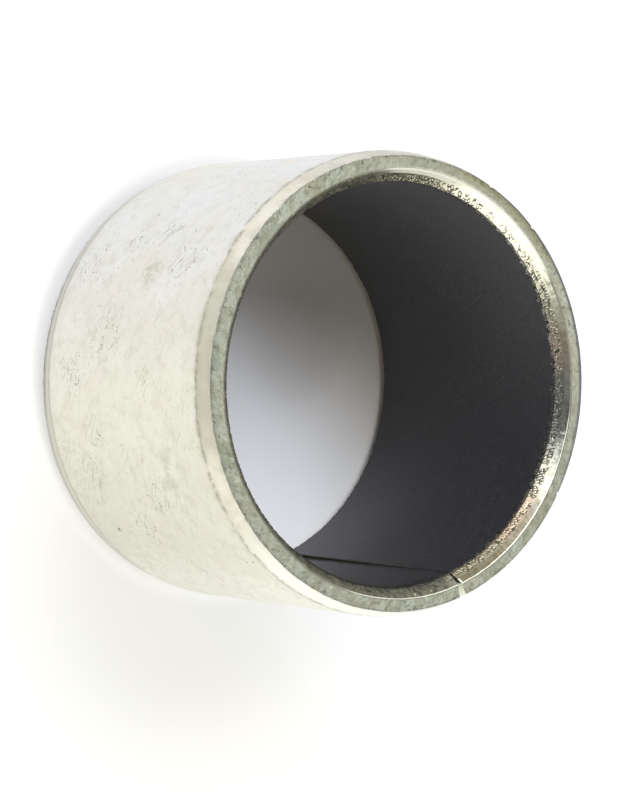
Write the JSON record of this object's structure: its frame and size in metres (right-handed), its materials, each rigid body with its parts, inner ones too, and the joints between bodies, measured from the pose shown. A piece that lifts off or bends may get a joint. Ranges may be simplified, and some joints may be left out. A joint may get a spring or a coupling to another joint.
{
  "type": "wrapped plain bushing",
  "caption": "Thin-walled ring rolled from layered metal strip, with a straight butt joint and chamfered ends, that guides a shock absorber's piston rod.",
  "frame": {"origin": "centre of the lower end face, on the bore's axis", "axes": "+Z along the bore axis, from the end the bushing stands on to its upper end; +X through the butt joint"},
  "size_m": [0.023, 0.023, 0.016],
  "materials": {
    "tinned_steel": "matt warm-white tin plating over steel, with fine pits and scuffs; bare tool marks on the end faces",
    "sintered_bronze": "granular sintered bronze, cut bright on the bore's chamfers",
    "dark_overlay": "matt charcoal low-friction lining with a fine speckle"
  },
  "bodies": {
    "root": {"steel_backing": "tinned_steel", "bronze_interlayer": "sintered_bronze", "sliding_overlay": "dark_overlay"}
  },
  "joints": []
}
